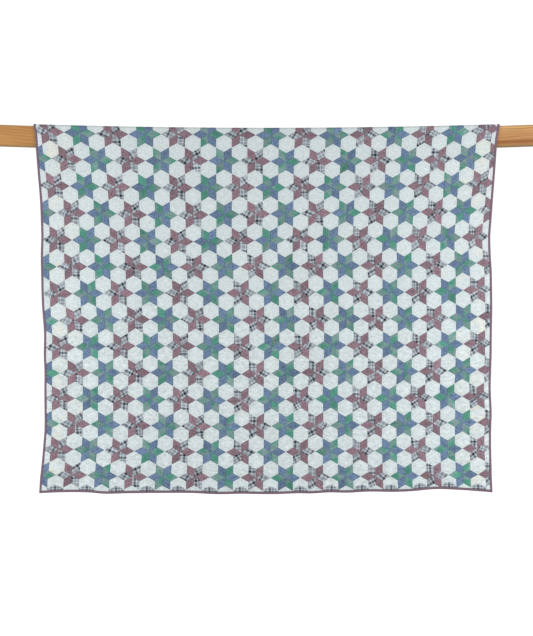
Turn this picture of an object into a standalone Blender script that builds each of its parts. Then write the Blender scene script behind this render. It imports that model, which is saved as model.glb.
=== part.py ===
"""Patchwork quilt of six-pointed stars and white hexagons, hung over a plain timber rail.

The rail is a planed timber that sags a little between the two flat seats at its ends. The
quilt is one stitched sandwich of pieced face, batting and backing: most of its length hangs
down the front and the rest down the back. Four strips of binding wrap its raw edges.

Metres, +Z up, +X along the rail, the long drop on the -Y side. The world's origin is the
middle of the left seat's underside.
"""

import math

import bmesh
import bpy
from mathutils import Vector
from mathutils.geometry import delaunay_2d_cdt

for old in list(bpy.data.objects):
    bpy.data.objects.remove(old, do_unlink=True)

# Rail: its section, its seats and how far its middle hangs below them.
RAIL_LENGTH = 2.44
RAIL_THICK = 0.038
RAIL_DEEP = 0.089
RAIL_EASE = 0.003
RAIL_SAG = 0.021
SEAT_LENGTH = 0.060
RAIL_STATIONS = 40

# Patches: every corner of the patchwork lies on columns half a star apart and on rows one
# patch side apart, and a star row is three patch sides high.
PATCH_SIDE = 0.0372
COLUMN_PITCH = PATCH_SIDE * math.sqrt(3) / 2
LAST_COLUMN = 60
FIRST_COLUMN_AT = 0.0064
LAST_COLUMN_SPARE = 0.0020
CLOTH_WIDTH = FIRST_COLUMN_AT + LAST_COLUMN * COLUMN_PITCH + LAST_COLUMN_SPARE

# Thickness, each figure measured from the middle of the cloth to one face.
HALF_EDGE = 0.0011
HALF_FACE = 0.0019
STAR_RISE = 0.0020
INNER_CORNER_RISE = 0.0012

# Binding: a strip folded over the compressed edge, a little clear of it.
BINDING_WIDTH = 0.011
BINDING_CLOTH = 0.0008
GAP = 0.0003
HALF_BOUND = HALF_EDGE + GAP + BINDING_CLOTH
SHOULDER = BINDING_WIDTH + 0.0015

# The bend over the rail: the cloth lies on the middle of the top and clears both arrises.
EDGE_CLEAR = 0.0022
CORNER_RADIUS = RAIL_EASE + EDGE_CLEAR + HALF_BOUND
TOP_HALF = RAIL_THICK / 2 - RAIL_EASE
TOP_LIFT = GAP + HALF_BOUND
CORNER_LIFT = CORNER_RADIUS - RAIL_EASE
PLUMB = TOP_HALF + CORNER_RADIUS * math.pi / 2
CORNER_STEPS = 3

# The patch row that lies where the front turns plumb, at the left, the middle and the right.
ROW_AT_PLUMB = (-3.35, -3.61, -3.44)
LAST_ROW_BACK = -20.2

# Half the hung width. Columns: metres below the rail's top, left of and right of the middle.
SIDES = (
    (0.00, 0.984, 0.985),
    (0.10, 0.980, 0.978),
    (0.20, 0.974, 0.970),
    (0.31, 0.967, 0.961),
    (0.47, 0.962, 0.950),
    (0.62, 0.960, 0.956),
    (0.76, 0.955, 0.958),
    (0.90, 0.949, 0.957),
    (1.02, 0.947, 0.955),
    (1.12, 0.946, 0.952),
    (1.22, 0.947, 0.955),
    (1.34, 0.951, 0.953),
    (1.44, 0.959, 0.954),
    (1.56, 0.966, 0.959),
)

# The front hem. Columns: share of the width from the left, metres below the rail's top.
HEM = (
    (0.000, 1.557),
    (0.120, 1.553),
    (0.240, 1.549),
    (0.500, 1.550),
    (0.665, 1.548),
    (0.800, 1.550),
    (0.880, 1.542),
    (0.945, 1.551),
    (1.000, 1.559),
)

# Soft folds. Columns: share of the width, half width, how far it stands out, length up from
# the hem. A negative stand is a trough.
FRONT_FOLDS = (
    (0.000, 0.075, 0.010, 0.95),
    (0.085, 0.065, -0.007, 0.60),
    (0.200, 0.085, 0.009, 0.80),
    (0.330, 0.080, -0.006, 0.60),
    (0.455, 0.095, 0.008, 0.85),
    (0.590, 0.100, -0.007, 0.75),
    (0.730, 0.080, 0.007, 0.65),
    (0.870, 0.065, -0.008, 0.90),
    (1.000, 0.080, 0.011, 1.05),
)
BACK_FOLDS = (
    (0.000, 0.090, 0.005, 0.35),
    (0.260, 0.120, 0.006, 0.40),
    (0.520, 0.110, -0.004, 0.35),
    (0.780, 0.130, 0.006, 0.40),
    (1.000, 0.090, 0.004, 0.35),
)

HEM_STATIONS = 40
FRONT_STATIONS = 21
BACK_STATIONS = 8
LATTICE_CLEAR = 0.010


def read_table(table, at):
    """The row of a table at this value of its first column, on a smooth curve through it."""
    last = len(table) - 1
    k = 0
    while k < last - 1 and at > table[k + 1][0]:
        k += 1
    low, high = table[k], table[k + 1]
    below, above = table[max(k - 1, 0)], table[min(k + 2, last)]
    span = high[0] - low[0]
    t = min(max((at - low[0]) / span, 0.0), 1.0)
    found = []
    for column in range(1, len(low)):
        slope_low = (high[column] - below[column]) / (high[0] - below[0]) * span
        slope_high = (above[column] - low[column]) / (above[0] - low[0]) * span
        found.append(
            low[column] * (1 + 2 * t) * (1 - t) ** 2
            + slope_low * t * (1 - t) ** 2
            + high[column] * t * t * (3 - 2 * t)
            + slope_high * t * t * (t - 1)
        )
    return found


def rail_top(x):
    """Height of the rail's top above its seats' underside, x metres from its middle."""
    reach = RAIL_LENGTH / 2 - SEAT_LENGTH
    return RAIL_DEEP - RAIL_SAG * max(0.0, 1 - (x / reach) ** 2)


def row_at_plumb(across):
    """The patch row that lies where the front turns plumb."""
    left, middle, right = ROW_AT_PLUMB
    t = across / CLOTH_WIDTH
    return left * (1 - t) * (1 - 2 * t) + 4 * middle * t * (1 - t) + right * t * (2 * t - 1)


def row_along(across, row):
    """Where a patch row lies, in metres of cloth from the middle of the bend."""
    return PLUMB + (row - row_at_plumb(across)) * PATCH_SIDE


def front_hem(across):
    drop = read_table(HEM, across / CLOTH_WIDTH)[0]
    return PLUMB + drop - RAIL_EASE


def back_hem(across):
    return row_along(across, LAST_ROW_BACK)


def fold_stand(folds, share, up_from_hem):
    """How far the soft folds stand out from the plumb cloth."""
    stand = 0.0
    for at, half, out, length in folds:
        side = (share - at) * CLOTH_WIDTH / half
        grown = min(max(1 - up_from_hem / length, 0.0), 1.0)
        stand += out * math.exp(-side * side) * grown * grown * (3 - 2 * grown)
    return stand


def hung(across, along, out):
    """A point of the hung cloth, from the rail's middle.

    across is measured on the flat cloth from its left edge, along from the middle of the
    bend (front positive), and out from the middle of the thickness to the pieced face.
    """
    far = abs(along)
    if far <= TOP_HALF:
        y = far
        z = TOP_LIFT + (CORNER_LIFT - TOP_LIFT) * (far / TOP_HALF) ** 2
        turn = 0.0
    else:
        turn = min((far - TOP_HALF) / CORNER_RADIUS, math.pi / 2)
        y = TOP_HALF + CORNER_RADIUS * math.sin(turn)
        z = CORNER_RADIUS * math.cos(turn) - RAIL_EASE - max(far - PLUMB, 0.0)
    share = across / CLOTH_WIDTH
    left, right = read_table(SIDES, max(-z, 0.0))
    x = -left + (left + right) * share
    if along > PLUMB:
        y += fold_stand(FRONT_FOLDS, share, front_hem(across) - along)
    elif along < -PLUMB:
        y += fold_stand(BACK_FOLDS, share, along - back_hem(across))
    y += out * math.sin(turn)
    z += out * math.cos(turn) + rail_top(x)
    return Vector((x, -y if along > 0 else y, z))


def corner_rise(column, half_row):
    """How far a patch corner puffs up: most at a star's middle, not at all on a block's seams."""
    nearest = min(
        0.75 * ((column - 2 * star + 2) % 4 - 2) ** 2 + 0.25 * (half_row - 6 * star) ** 2
        for star in (half_row // 6, half_row // 6 + 1)
    )
    if nearest < 0.5:
        return STAR_RISE
    return INNER_CORNER_RISE if nearest < 1.5 else 0.0


def bend_rows():
    """Distances from the middle of the bend at which the cloth has a row of points."""
    turned = [
        TOP_HALF + CORNER_RADIUS * math.radians(90) * k / CORNER_STEPS
        for k in range(CORNER_STEPS + 1)
    ]
    half = [TOP_HALF / 2] + turned
    return [-d for d in reversed(half)] + [0.0] + half


def evenly(first, last, count):
    return [first + (last - first) * k / count for k in range(count + 1)]


def side_rows(across):
    """Rows down one side, from the front hem's shoulder over the rail to the back hem's."""
    bend = list(reversed(bend_rows()))
    front = evenly(front_hem(across) - SHOULDER, bend[0], FRONT_STATIONS)
    back = evenly(bend[-1], back_hem(across) + SHOULDER, BACK_STATIONS)
    return front[:-1] + bend + back[1:]


LEFT_ROWS = side_rows(SHOULDER)
RIGHT_ROWS = side_rows(CLOTH_WIDTH - SHOULDER)
HEM_COLUMNS = evenly(SHOULDER, CLOTH_WIDTH - SHOULDER, HEM_STATIONS)


def shoulder_loop():
    """Where the cloth starts to swell inside the binding, as a closed loop of flat points."""
    front = [(a, front_hem(a) - SHOULDER) for a in HEM_COLUMNS]
    right = [(CLOTH_WIDTH - SHOULDER, d) for d in RIGHT_ROWS[1:-1]]
    back = [(a, back_hem(a) + SHOULDER) for a in reversed(HEM_COLUMNS)]
    left = [(SHOULDER, d) for d in reversed(LEFT_ROWS[1:-1])]
    return front + right + back + left


def edge_loop():
    """The cloth's cut edge inside the binding, as a closed loop of flat points."""
    inset = BINDING_CLOTH + GAP
    near, far = inset, CLOTH_WIDTH - inset
    front = [(a, front_hem(a) - inset) for a in [near, *HEM_COLUMNS, far]]
    right = [(far, d) for d in RIGHT_ROWS]
    back = [(a, back_hem(a) + inset) for a in [far, *reversed(HEM_COLUMNS), near]]
    left = [(near, d) for d in reversed(LEFT_ROWS)]
    return front + right + back + left


def inner_points(step, puffed):
    """Points inside the shoulder: patch corners every step columns and rows, and the bend's."""
    points = []
    for column in range(step, LAST_COLUMN, step):
        across = FIRST_COLUMN_AT + column * COLUMN_PITCH
        lowest = front_hem(across) - SHOULDER - LATTICE_CLEAR
        highest = back_hem(across) + SHOULDER + LATTICE_CLEAR
        last_half_row = math.ceil(2 * (lowest / PATCH_SIDE))
        for half_row in range(int(2 * LAST_ROW_BACK), last_half_row):
            along = row_along(across, half_row / 2)
            if (half_row - column) % (2 * step) or not highest < along < lowest:
                continue
            if abs(along) < PLUMB + LATTICE_CLEAR:
                continue
            rise = corner_rise(column, half_row) if puffed else 0.0
            points.append((across, along, HALF_FACE + rise))
    for across in HEM_COLUMNS[1:-1]:
        points += [(across, along, HALF_FACE) for along in bend_rows()]
    return points


def cloth_face(mesh, step, side):
    """One face of the cloth: +1 is the pieced face and -1 the backing. Returns its edge loop."""
    edge = [(a, d, HALF_EDGE) for a, d in edge_loop()]
    shoulder = [(a, d, HALF_EDGE) for a, d in shoulder_loop()]
    points = edge + shoulder + inner_points(step, side > 0)
    flat = [Vector((a, d)) for a, d, _ in points]
    index = {(round(a, 6), round(d, 6)): k for k, (a, d, _) in enumerate(points)}
    first = len(edge)
    count = len(shoulder)
    creases = [(first + k, first + (k + 1) % count) for k in range(count)]
    for row in bend_rows():
        crease = [index[round(a, 6), round(row, 6)] for a in HEM_COLUMNS]
        creases += zip(crease, crease[1:])
    outline = list(range(first))
    _, _, triangles, sources, _, _ = delaunay_2d_cdt(flat, creases, [outline], 1, 1e-7)
    corners = [mesh.verts.new(hung(a, d, side * out)) for a, d, out in points]
    for triangle in triangles:
        mesh.faces.new([corners[sources[k][0]] for k in triangle])
    return corners[:first]


def finish(name, mesh, material, smooth_angle):
    bmesh.ops.recalc_face_normals(mesh, faces=mesh.faces)
    data = bpy.data.meshes.new(name)
    mesh.to_mesh(data)
    mesh.free()
    data.materials.append(material)
    data.shade_smooth()
    data.set_sharp_from_angle(angle=math.radians(smooth_angle))
    made = bpy.data.objects.new(name, data)
    bpy.context.scene.collection.objects.link(made)
    made.parent = rail_middle
    return made


def swept(name, rings, material):
    """A closed solid skinned over a run of like sections."""
    mesh = bmesh.new()
    loops = [[mesh.verts.new(point) for point in ring] for ring in rings]
    for one, two in zip(loops, loops[1:]):
        for k in range(len(one)):
            mesh.faces.new((one[k - 1], one[k], two[k], two[k - 1]))
    mesh.faces.new(loops[0])
    mesh.faces.new(loops[-1])
    return finish(name, mesh, material, 35)


def principled(name, colour, roughness):
    material = bpy.data.materials.new(name)
    material.use_nodes = True
    shader = material.node_tree.nodes["Principled BSDF"]
    shader.inputs["Base Color"].default_value = (*colour, 1.0)
    shader.inputs["Roughness"].default_value = roughness
    shader.inputs["Metallic"].default_value = 0.0
    return material


def build_rail(material):
    """The timber on its edge, its four arrises eased, level over both seats."""
    reach = RAIL_LENGTH / 2
    across = RAIL_THICK / 2
    ease = RAIL_EASE
    cut = ease * (1 - math.sqrt(0.5))
    corner = [(0.0, ease), (cut, cut), (ease, 0.0)]
    section = [(-across + y, z) for y, z in corner]
    section += [(across - y, z) for y, z in reversed(corner)]
    section += [(across - y, RAIL_DEEP - z) for y, z in corner]
    section += [(-across + y, RAIL_DEEP - z) for y, z in reversed(corner)]
    bowed = evenly(SEAT_LENGTH - reach, reach - SEAT_LENGTH, RAIL_STATIONS)
    stations = [-reach, *bowed, reach]
    rings = [
        [Vector((x, y, z + rail_top(x) - RAIL_DEEP)) for y, z in section]
        for x in stations
    ]
    return swept("rail", rings, material)


def build_quilt(material):
    """The stitched sandwich, its star blocks puffed on the pieced face."""
    mesh = bmesh.new()
    pieced = cloth_face(mesh, 1, 1)
    backing = cloth_face(mesh, 2, -1)
    for k in range(len(pieced)):
        mesh.faces.new((pieced[k - 1], pieced[k], backing[k], backing[k - 1]))
    return finish("quilt", mesh, material, 60)


def binding_section():
    """The folded strip's section. Columns: inset from the cloth's edge, out from its middle."""
    slot = HALF_EDGE + GAP
    round_off = 0.001
    one_side = [
        (BINDING_WIDTH, slot),
        (BINDING_WIDTH, HALF_BOUND),
        (round_off, HALF_BOUND),
        (0.0, HALF_BOUND - round_off),
    ]
    outside = one_side + [(inset, -out) for inset, out in reversed(one_side)]
    return outside + [(BINDING_CLOTH, -slot), (BINDING_CLOTH, slot)]


def build_binding(name, stations, place, material):
    section = binding_section()
    rings = [[place(at, inset, out) for inset, out in section] for at in stations]
    return swept(name, rings, material)


def build_bindings(material):
    """Two strips down the sides, over the rail, and two along the hems between them."""
    left = [front_hem(0.0), *LEFT_ROWS, back_hem(0.0)]
    right = [front_hem(CLOTH_WIDTH), *RIGHT_ROWS, back_hem(CLOTH_WIDTH)]
    butt = BINDING_WIDTH + GAP
    between = [butt, *HEM_COLUMNS, CLOTH_WIDTH - butt]

    def left_at(along, inset, out):
        return hung(inset, along, out)

    def right_at(along, inset, out):
        return hung(CLOTH_WIDTH - inset, along, out)

    def front_at(across, inset, out):
        return hung(across, front_hem(across) - inset, out)

    def back_at(across, inset, out):
        return hung(across, back_hem(across) + inset, out)

    build_binding("binding_left", left, left_at, material)
    build_binding("binding_right", right, right_at, material)
    build_binding("binding_front_hem", between, front_at, material)
    build_binding("binding_back_hem", between, back_at, material)


rail_middle = bpy.data.objects.new("rail_middle", None)
rail_middle.location = ((RAIL_LENGTH - SEAT_LENGTH) / 2, 0.0, 0.0)
bpy.context.scene.collection.objects.link(rail_middle)

build_rail(principled("pine", (0.52, 0.28, 0.10), 0.55))
build_quilt(principled("pieced_cotton", (0.62, 0.68, 0.69), 0.85))
build_bindings(principled("plum_binding", (0.20, 0.11, 0.14), 0.85))
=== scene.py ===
"""Looks of a patchwork quilt of six-pointed stars and white hexagons, hung over a timber rail.

Metres, +Z up, +X along the rail, the quilt's long drop on the -Y side.
"""

import math
import random

import bmesh
import bpy
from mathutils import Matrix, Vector, noise


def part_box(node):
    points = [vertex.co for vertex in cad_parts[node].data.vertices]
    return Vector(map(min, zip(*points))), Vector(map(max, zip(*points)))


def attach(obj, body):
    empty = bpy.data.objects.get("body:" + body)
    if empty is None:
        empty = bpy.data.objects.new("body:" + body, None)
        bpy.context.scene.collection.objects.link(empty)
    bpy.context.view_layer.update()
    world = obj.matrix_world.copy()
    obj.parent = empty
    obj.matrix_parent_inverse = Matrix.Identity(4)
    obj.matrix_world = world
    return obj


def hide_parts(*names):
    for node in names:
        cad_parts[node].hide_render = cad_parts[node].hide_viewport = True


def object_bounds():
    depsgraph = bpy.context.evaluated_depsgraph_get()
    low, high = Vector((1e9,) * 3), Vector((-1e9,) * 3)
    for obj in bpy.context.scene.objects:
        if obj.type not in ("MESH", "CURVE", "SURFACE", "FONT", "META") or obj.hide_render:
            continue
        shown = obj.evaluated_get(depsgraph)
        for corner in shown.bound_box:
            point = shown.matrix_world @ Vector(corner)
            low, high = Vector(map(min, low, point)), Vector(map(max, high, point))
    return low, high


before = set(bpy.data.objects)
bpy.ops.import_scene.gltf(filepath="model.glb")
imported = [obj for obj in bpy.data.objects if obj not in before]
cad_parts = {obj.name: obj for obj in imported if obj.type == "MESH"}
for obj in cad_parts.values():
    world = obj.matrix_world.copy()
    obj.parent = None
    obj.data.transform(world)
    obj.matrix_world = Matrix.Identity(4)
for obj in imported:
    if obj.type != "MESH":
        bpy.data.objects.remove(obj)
cad_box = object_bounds()


# Rail. One planed length of pine laid on its edge with the arrises eased. Its solid is right
# as it is, so it keeps that shape and gets the finish of sealed timber: growth rings round a
# heart that lies below and behind it, fine fibres along it, and a darker streak near one end.
# Painted shade darkens its lower arris, more on the right.


def dyed(red, green, blue):
    """A colour given as 0 to 255 on a screen, as the linear colour that a shader takes."""
    parts = [part / 255 for part in (red, green, blue)]
    linear = [p / 12.92 if p <= 0.04045 else ((p + 0.055) / 1.055) ** 2.4 for p in parts]
    return (*linear, 1.0)


class Signal:
    """One output of a finish's nodes. Each operator adds a Math node, so 1 - mask works."""

    def __init__(self, finish, socket):
        self.finish = finish
        self.socket = socket

    def worked(self, operation, *others):
        inputs = dict(enumerate((self, *others)))
        return self.finish.node("ShaderNodeMath", {"operation": operation}, inputs)

    def __add__(self, other):
        return self.worked("ADD", other)

    def __mul__(self, other):
        return self.worked("MULTIPLY", other)

    def __sub__(self, other):
        return self.worked("SUBTRACT", other)

    def __truediv__(self, other):
        return self.worked("DIVIDE", other)

    def __pow__(self, other):
        return self.worked("POWER", other)

    def __rsub__(self, other):
        return (self * -1.0) + other

    __radd__ = __add__
    __rmul__ = __mul__

    def ramped(self, low, high):
        """0 below low, 1 above high and a smooth step between them; low may be the larger."""
        settings = {"interpolation_type": "SMOOTHSTEP"}
        inputs = {"Value": self, "From Min": low, "From Max": high}
        return self.finish.node("ShaderNodeMapRange", settings, inputs)

    def waved(self, pitch):
        """A sine over the signal's value, one turn to each pitch."""
        return (self * (2 * math.pi / pitch)).worked("SINE")


class Finish:
    """A material being made up: its node tree, and the one method that adds a node."""

    def __init__(self, name, **constants):
        self.material = bpy.data.materials.new(name)
        self.material.use_nodes = True
        self.tree = self.material.node_tree
        self.shader = self.tree.nodes["Principled BSDF"]
        for socket, value in constants.items():
            self.shader.inputs[socket.replace("_", " ")].default_value = value

    def node(self, kind, settings, inputs, output=0):
        """Adds a node: its settings first, then the values or the links of its sockets."""
        made = self.tree.nodes.new(kind)
        for name, value in settings.items():
            setattr(made, name, value)
        for key, value in inputs.items():
            self.feed(made.inputs[key], value)
        return Signal(self, made.outputs[output])

    def feed(self, socket, value):
        if isinstance(value, Signal):
            self.tree.links.new(value.socket, socket)
        else:
            socket.default_value = value

    def spread(self, **inputs):
        """Links what varies over the surface to the shader's own sockets."""
        for name, value in inputs.items():
            self.feed(self.shader.inputs[name.replace("_", " ")], value)

    def apart(self, vector):
        first = self.node("ShaderNodeSeparateXYZ", {}, {0: vector})
        sockets = first.socket.node.outputs
        return [Signal(self, socket) for socket in sockets]

    def place(self, x, y, z=0.0):
        return self.node("ShaderNodeCombineXYZ", {}, {0: x, 1: y, 2: z})

    def speckle(self, where, scale=1.0, detail=2.0):
        """Soft noise from 0 to 1, mostly near a half."""
        inputs = {"Vector": where, "Scale": scale, "Detail": detail}
        return self.node("ShaderNodeTexNoise", {}, inputs)

    def blend(self, share, under, over):
        """Two colours mixed by a share from 0 to 1."""
        inputs = {0: share, 6: under, 7: over}
        return self.node("ShaderNodeMix", {"data_type": "RGBA"}, inputs, 2)

    def shaded(self, colour, tone):
        """A colour made lighter or darker by a tone that is 1 where it stays."""
        settings = {"operation": "SCALE"}
        return self.node("ShaderNodeVectorMath", settings, {0: colour, "Scale": tone})

    def raise_by(self, height):
        """Stands the surface out by a height in metres, in its shading alone."""
        inputs = {"Height": height, "Distance": 1.0, "Strength": 1.0}
        self.spread(Normal=self.node("ShaderNodeBump", {}, inputs))


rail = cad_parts["rail"]
rail_low, rail_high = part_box("rail")
RAIL_MIDDLE = (rail_low.x + rail_high.x) / 2
RAIL_LENGTH = rail_high.x - rail_low.x

SEAT_LENGTH = 0.060
RAIL_REACH = RAIL_LENGTH / 2 - SEAT_LENGTH
RAIL_SAG = -rail_low.z

# The growth rings: where their heart lies, how far apart they are, how far they stray, and how
# much they lean on the left. Latewood is the dark outer part of each.
HEART_BEHIND = 0.062
HEART_BELOW = 0.150
RING_PITCH = 0.0115
RING_WANDER = 0.050
RING_SLOPE = 0.045
LATEWOOD_FROM = 0.35
LATEWOOD_BY = 0.90

# The dark streak: its height and half height, how far it bends, and where it sets in, in
# metres right of the rail's middle.
STREAK_HEIGHT = 0.0205
STREAK_HALF = 0.013
STREAK_BEND = 0.010
STREAK_FROM = 0.62
STREAK_BY = 1.00

# The wood turns paler from left to right, between these distances from its middle, and its
# sawn ends are a little darker. The fibres stand up in the sealer, and the latewood lies lower.
SIDE_REACH = 0.4
SAWN_FROM = 0.0020
SAWN_BY = 0.0005
FIBRE_HEIGHT = 0.00012
LATEWOOD_DEPTH = 0.00006


def pine():
    """Sealed pine, sawn so that the growth rings run as long lines down its bowed faces."""
    wood = Finish("sealed_pine", Roughness=0.5, Specular_IOR_Level=0.35)
    x, y, z = wood.apart(wood.node("ShaderNodeTexCoord", {}, {}, "Object"))
    along = (x - RAIL_MIDDLE) / RAIL_REACH
    height = z + (1 - along * along) * RAIL_SAG

    def flecks(lengthwise, through, up, detail):
        """Noise drawn out along the bowed wood. The first three are how many to a metre."""
        where = wood.place(x * lengthwise, y * through, height * up)
        return wood.speckle(where, detail=detail)

    near_side = x.ramped(RAIL_MIDDLE + SIDE_REACH, RAIL_MIDDLE - SIDE_REACH)
    far_side = x.ramped(RAIL_MIDDLE - SIDE_REACH, RAIL_MIDDLE + SIDE_REACH)
    near_end = x.ramped(RAIL_MIDDLE + STREAK_FROM, RAIL_MIDDLE + STREAK_BY)
    from_middle = (x - RAIL_MIDDLE).worked("ABSOLUTE")
    sawn_end = from_middle.ramped(RAIL_LENGTH / 2 - SAWN_FROM, RAIL_LENGTH / 2 - SAWN_BY)

    behind = y - HEART_BEHIND
    above = height + HEART_BELOW
    wander = flecks(1.9, 12.0, 14.0, 3.0) - 0.5
    sloped = x * near_side * RING_SLOPE
    out = (behind * behind + above * above) ** 0.5 + wander * RING_WANDER + sloped
    ring = (out / RING_PITCH).worked("FRACT")
    plain = flecks(2.6, 20.0, 38.0, 2.0).ramped(0.34, 0.64).worked("MAXIMUM", sawn_end)
    late = ring.ramped(LATEWOOD_FROM, LATEWOOD_BY) * ring.ramped(1.0, LATEWOOD_BY) * plain

    bend = wood.speckle(wood.place(x * 4.0, 0.0), detail=1.0) - 0.5
    from_streak = height - STREAK_HEIGHT + bend * STREAK_BEND
    streak = from_streak.worked("ABSOLUTE").ramped(STREAK_HALF, 0.002)
    below = from_streak.ramped(0.006, -0.006)
    between = height.ramped(0.072, 0.062)
    uneven = flecks(3.0, 30.0, 70.0, 3.0)
    # Painted shade along the lower arris, which faces down, stronger to the right.
    painted_arris_shade = height.ramped(0.0085, 0.002) * (far_side * 0.28 + 0.42)

    # Each colour is laid over those before it, by its share.
    colour = wood.blend(far_side, dyed(199, 148, 87), dyed(224, 178, 118))
    for share, tint in (
        (between * far_side * 0.85, dyed(203, 149, 98)),
        (below * near_end * 0.8, dyed(172, 126, 76)),
        (uneven.ramped(0.3, 0.75) * 0.40, dyed(184, 128, 74)),
        (late * 0.72, dyed(164, 108, 58)),
        (streak * near_end * 0.92, dyed(158, 98, 50)),
        # painted shade on the lower arris
        (painted_arris_shade, dyed(142, 118, 74)),
    ):
        colour = wood.blend(share, colour, tint)

    fibre = flecks(22.0, 900.0, 900.0, 3.0)
    thread = flecks(7.0, 160.0, 230.0, 2.0) - 0.5
    wood.spread(
        Base_Color=wood.shaded(colour, fibre * 0.2 + thread * 0.40 + 0.9 - sawn_end * 0.12),
        Roughness=fibre * 0.25 + 0.4,
    )
    wood.raise_by(fibre * FIBRE_HEIGHT - late * LATEWOOD_DEPTH)
    return wood.material


rail.data.materials.clear()
rail.data.materials.append(pine())


# The hung cloth. The quilt is one sandwich of pieced face, batting and backing, 2 mm thick at
# its edge and 4 to 6 mm inside, laid over the rail with its long drop in front. These sizes give
# where every point of the flat cloth hangs, and its folds are those of the quilt's solid.

PATCH_SIDE = 0.0372
COLUMN_PITCH = PATCH_SIDE * math.sqrt(3) / 2
LAST_COLUMN = 60
FIRST_COLUMN_AT = 0.0064
PAST_LAST_COLUMN = 0.0020
CLOTH_WIDTH = FIRST_COLUMN_AT + LAST_COLUMN * COLUMN_PITCH + PAST_LAST_COLUMN

RAIL_THICK = rail_high.y - rail_low.y
RAIL_EASE = 0.003

HALF_EDGE = 0.0011
HALF_FACE = 0.0019
BINDING_WIDTH = 0.0096
BINDING_CLOTH = 0.0008
GAP = 0.0003
HALF_BOUND = HALF_EDGE + GAP + BINDING_CLOTH

BEND_SLACK = 0.0022
CORNER_RADIUS = RAIL_EASE + BEND_SLACK + HALF_BOUND
TOP_HALF = RAIL_THICK / 2 - RAIL_EASE
TOP_LIFT = GAP + HALF_BOUND
CORNER_LIFT = CORNER_RADIUS - RAIL_EASE
PLUMB = TOP_HALF + CORNER_RADIUS * math.pi / 2

# The patch row that lies where the front turns plumb, at the left, the middle and the right.
ROW_AT_PLUMB = (-3.35, -3.61, -3.44)
LAST_ROW_BACK = -20.2

# Half the hung width. Columns: metres below the rail's top, left of and right of the middle.
SIDES = (
    (0.00, 0.992, 0.993),
    (0.03, 0.986, 0.987),
    (0.06, 0.983, 0.982),
    (0.10, 0.981, 0.979),
    (0.20, 0.973, 0.972),
    (0.31, 0.964, 0.9635),
    (0.40, 0.960, 0.957),
    (0.47, 0.958, 0.952),
    (0.55, 0.960, 0.954),
    (0.62, 0.959, 0.958),
    (0.76, 0.955, 0.960),
    (0.88, 0.946, 0.958),
    (0.97, 0.9465, 0.957),
    (1.06, 0.9435, 0.954),
    (1.12, 0.944, 0.9525),
    (1.22, 0.943, 0.9565),
    (1.29, 0.943, 0.954),
    (1.36, 0.948, 0.9535),
    (1.44, 0.955, 0.9555),
    (1.50, 0.9615, 0.957),
    (1.56, 0.965, 0.9595),
)

# The front hem. Columns: share of the width from the left, metres below the rail's top.
HEM = (
    (0.000, 1.5610),
    (0.050, 1.5560),
    (0.110, 1.5550),
    (0.145, 1.5580),
    (0.200, 1.5525),
    (0.330, 1.5500),
    (0.390, 1.5530),
    (0.450, 1.5500),
    (0.520, 1.5525),
    (0.570, 1.5500),
    (0.600, 1.5510),
    (0.640, 1.5465),
    (0.680, 1.5480),
    (0.730, 1.5435),
    (0.780, 1.5470),
    (0.820, 1.5460),
    (0.880, 1.5400),
    (0.930, 1.5450),
    (0.965, 1.5510),
    (1.000, 1.5570),
)

# Soft folds. Columns: share of the width, half width, how far it stands out, length up from
# the hem. A negative stand is a trough.
FRONT_FOLDS = (
    (0.000, 0.075, 0.010, 0.95),
    (0.085, 0.065, -0.007, 0.60),
    (0.200, 0.085, 0.009, 0.80),
    (0.330, 0.080, -0.006, 0.60),
    (0.455, 0.095, 0.008, 0.85),
    (0.590, 0.100, -0.007, 0.75),
    (0.730, 0.080, 0.007, 0.65),
    (0.870, 0.065, -0.008, 0.90),
    (1.000, 0.080, 0.011, 1.05),
)
BACK_FOLDS = (
    (0.000, 0.090, 0.005, 0.35),
    (0.260, 0.120, 0.006, 0.40),
    (0.520, 0.110, -0.004, 0.35),
    (0.780, 0.130, 0.006, 0.40),
    (1.000, 0.090, 0.004, 0.35),
)

# Small ripples that the stitching pulls into the cloth, largest at the hem.
RIPPLE_SPACING = 0.075
RIPPLE_STAND = 0.0012
HEM_RIPPLE_STAND = 0.0022
HEM_RIPPLE_REACH = 0.16


def read_table(table, at):
    """The row of a table at this value of its first column, on a smooth curve through it."""
    last = len(table) - 1
    k = 0
    while k < last - 1 and at > table[k + 1][0]:
        k += 1
    low, high = table[k], table[k + 1]
    below, above = table[max(k - 1, 0)], table[min(k + 2, last)]
    span = high[0] - low[0]
    t = min(max((at - low[0]) / span, 0.0), 1.0)
    found = []
    for column in range(1, len(low)):
        slope_low = (high[column] - below[column]) / (high[0] - below[0]) * span
        slope_high = (above[column] - low[column]) / (above[0] - low[0]) * span
        found.append(
            low[column] * (1 + 2 * t) * (1 - t) ** 2
            + slope_low * t * (1 - t) ** 2
            + high[column] * t * t * (3 - 2 * t)
            + slope_high * t * t * (t - 1)
        )
    return found


def smooth_step(value, low, high):
    """0 below low, 1 above high and a smooth step between them."""
    t = min(max((value - low) / (high - low), 0.0), 1.0)
    return t * t * (3 - 2 * t)


def rail_top(x):
    """Height of the rail's top above its seats' underside, x metres from its middle."""
    return rail_high.z - RAIL_SAG * max(0.0, 1 - (x / RAIL_REACH) ** 2)


def row_along(across, row):
    """Where a patch row lies, in metres of cloth from the middle of the bend."""
    left, middle, right = ROW_AT_PLUMB
    t = across / CLOTH_WIDTH
    bowed = left * (1 - t) * (1 - 2 * t) + 4 * middle * t * (1 - t) + right * t * (2 * t - 1)
    return PLUMB + (row - bowed) * PATCH_SIDE


def front_hem(across):
    return PLUMB + read_table(HEM, across / CLOTH_WIDTH)[0] - RAIL_EASE


def back_hem(across):
    return row_along(across, LAST_ROW_BACK)


def fold_stand(folds, share, up_from_hem):
    """How far the soft folds stand out from the plumb cloth."""
    stand = 0.0
    for at, half, out, length in folds:
        side = (share - at) * CLOTH_WIDTH / half
        grown = smooth_step(1 - up_from_hem / length, 0.0, 1.0)
        stand += out * math.exp(-side * side) * grown
    return stand


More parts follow.
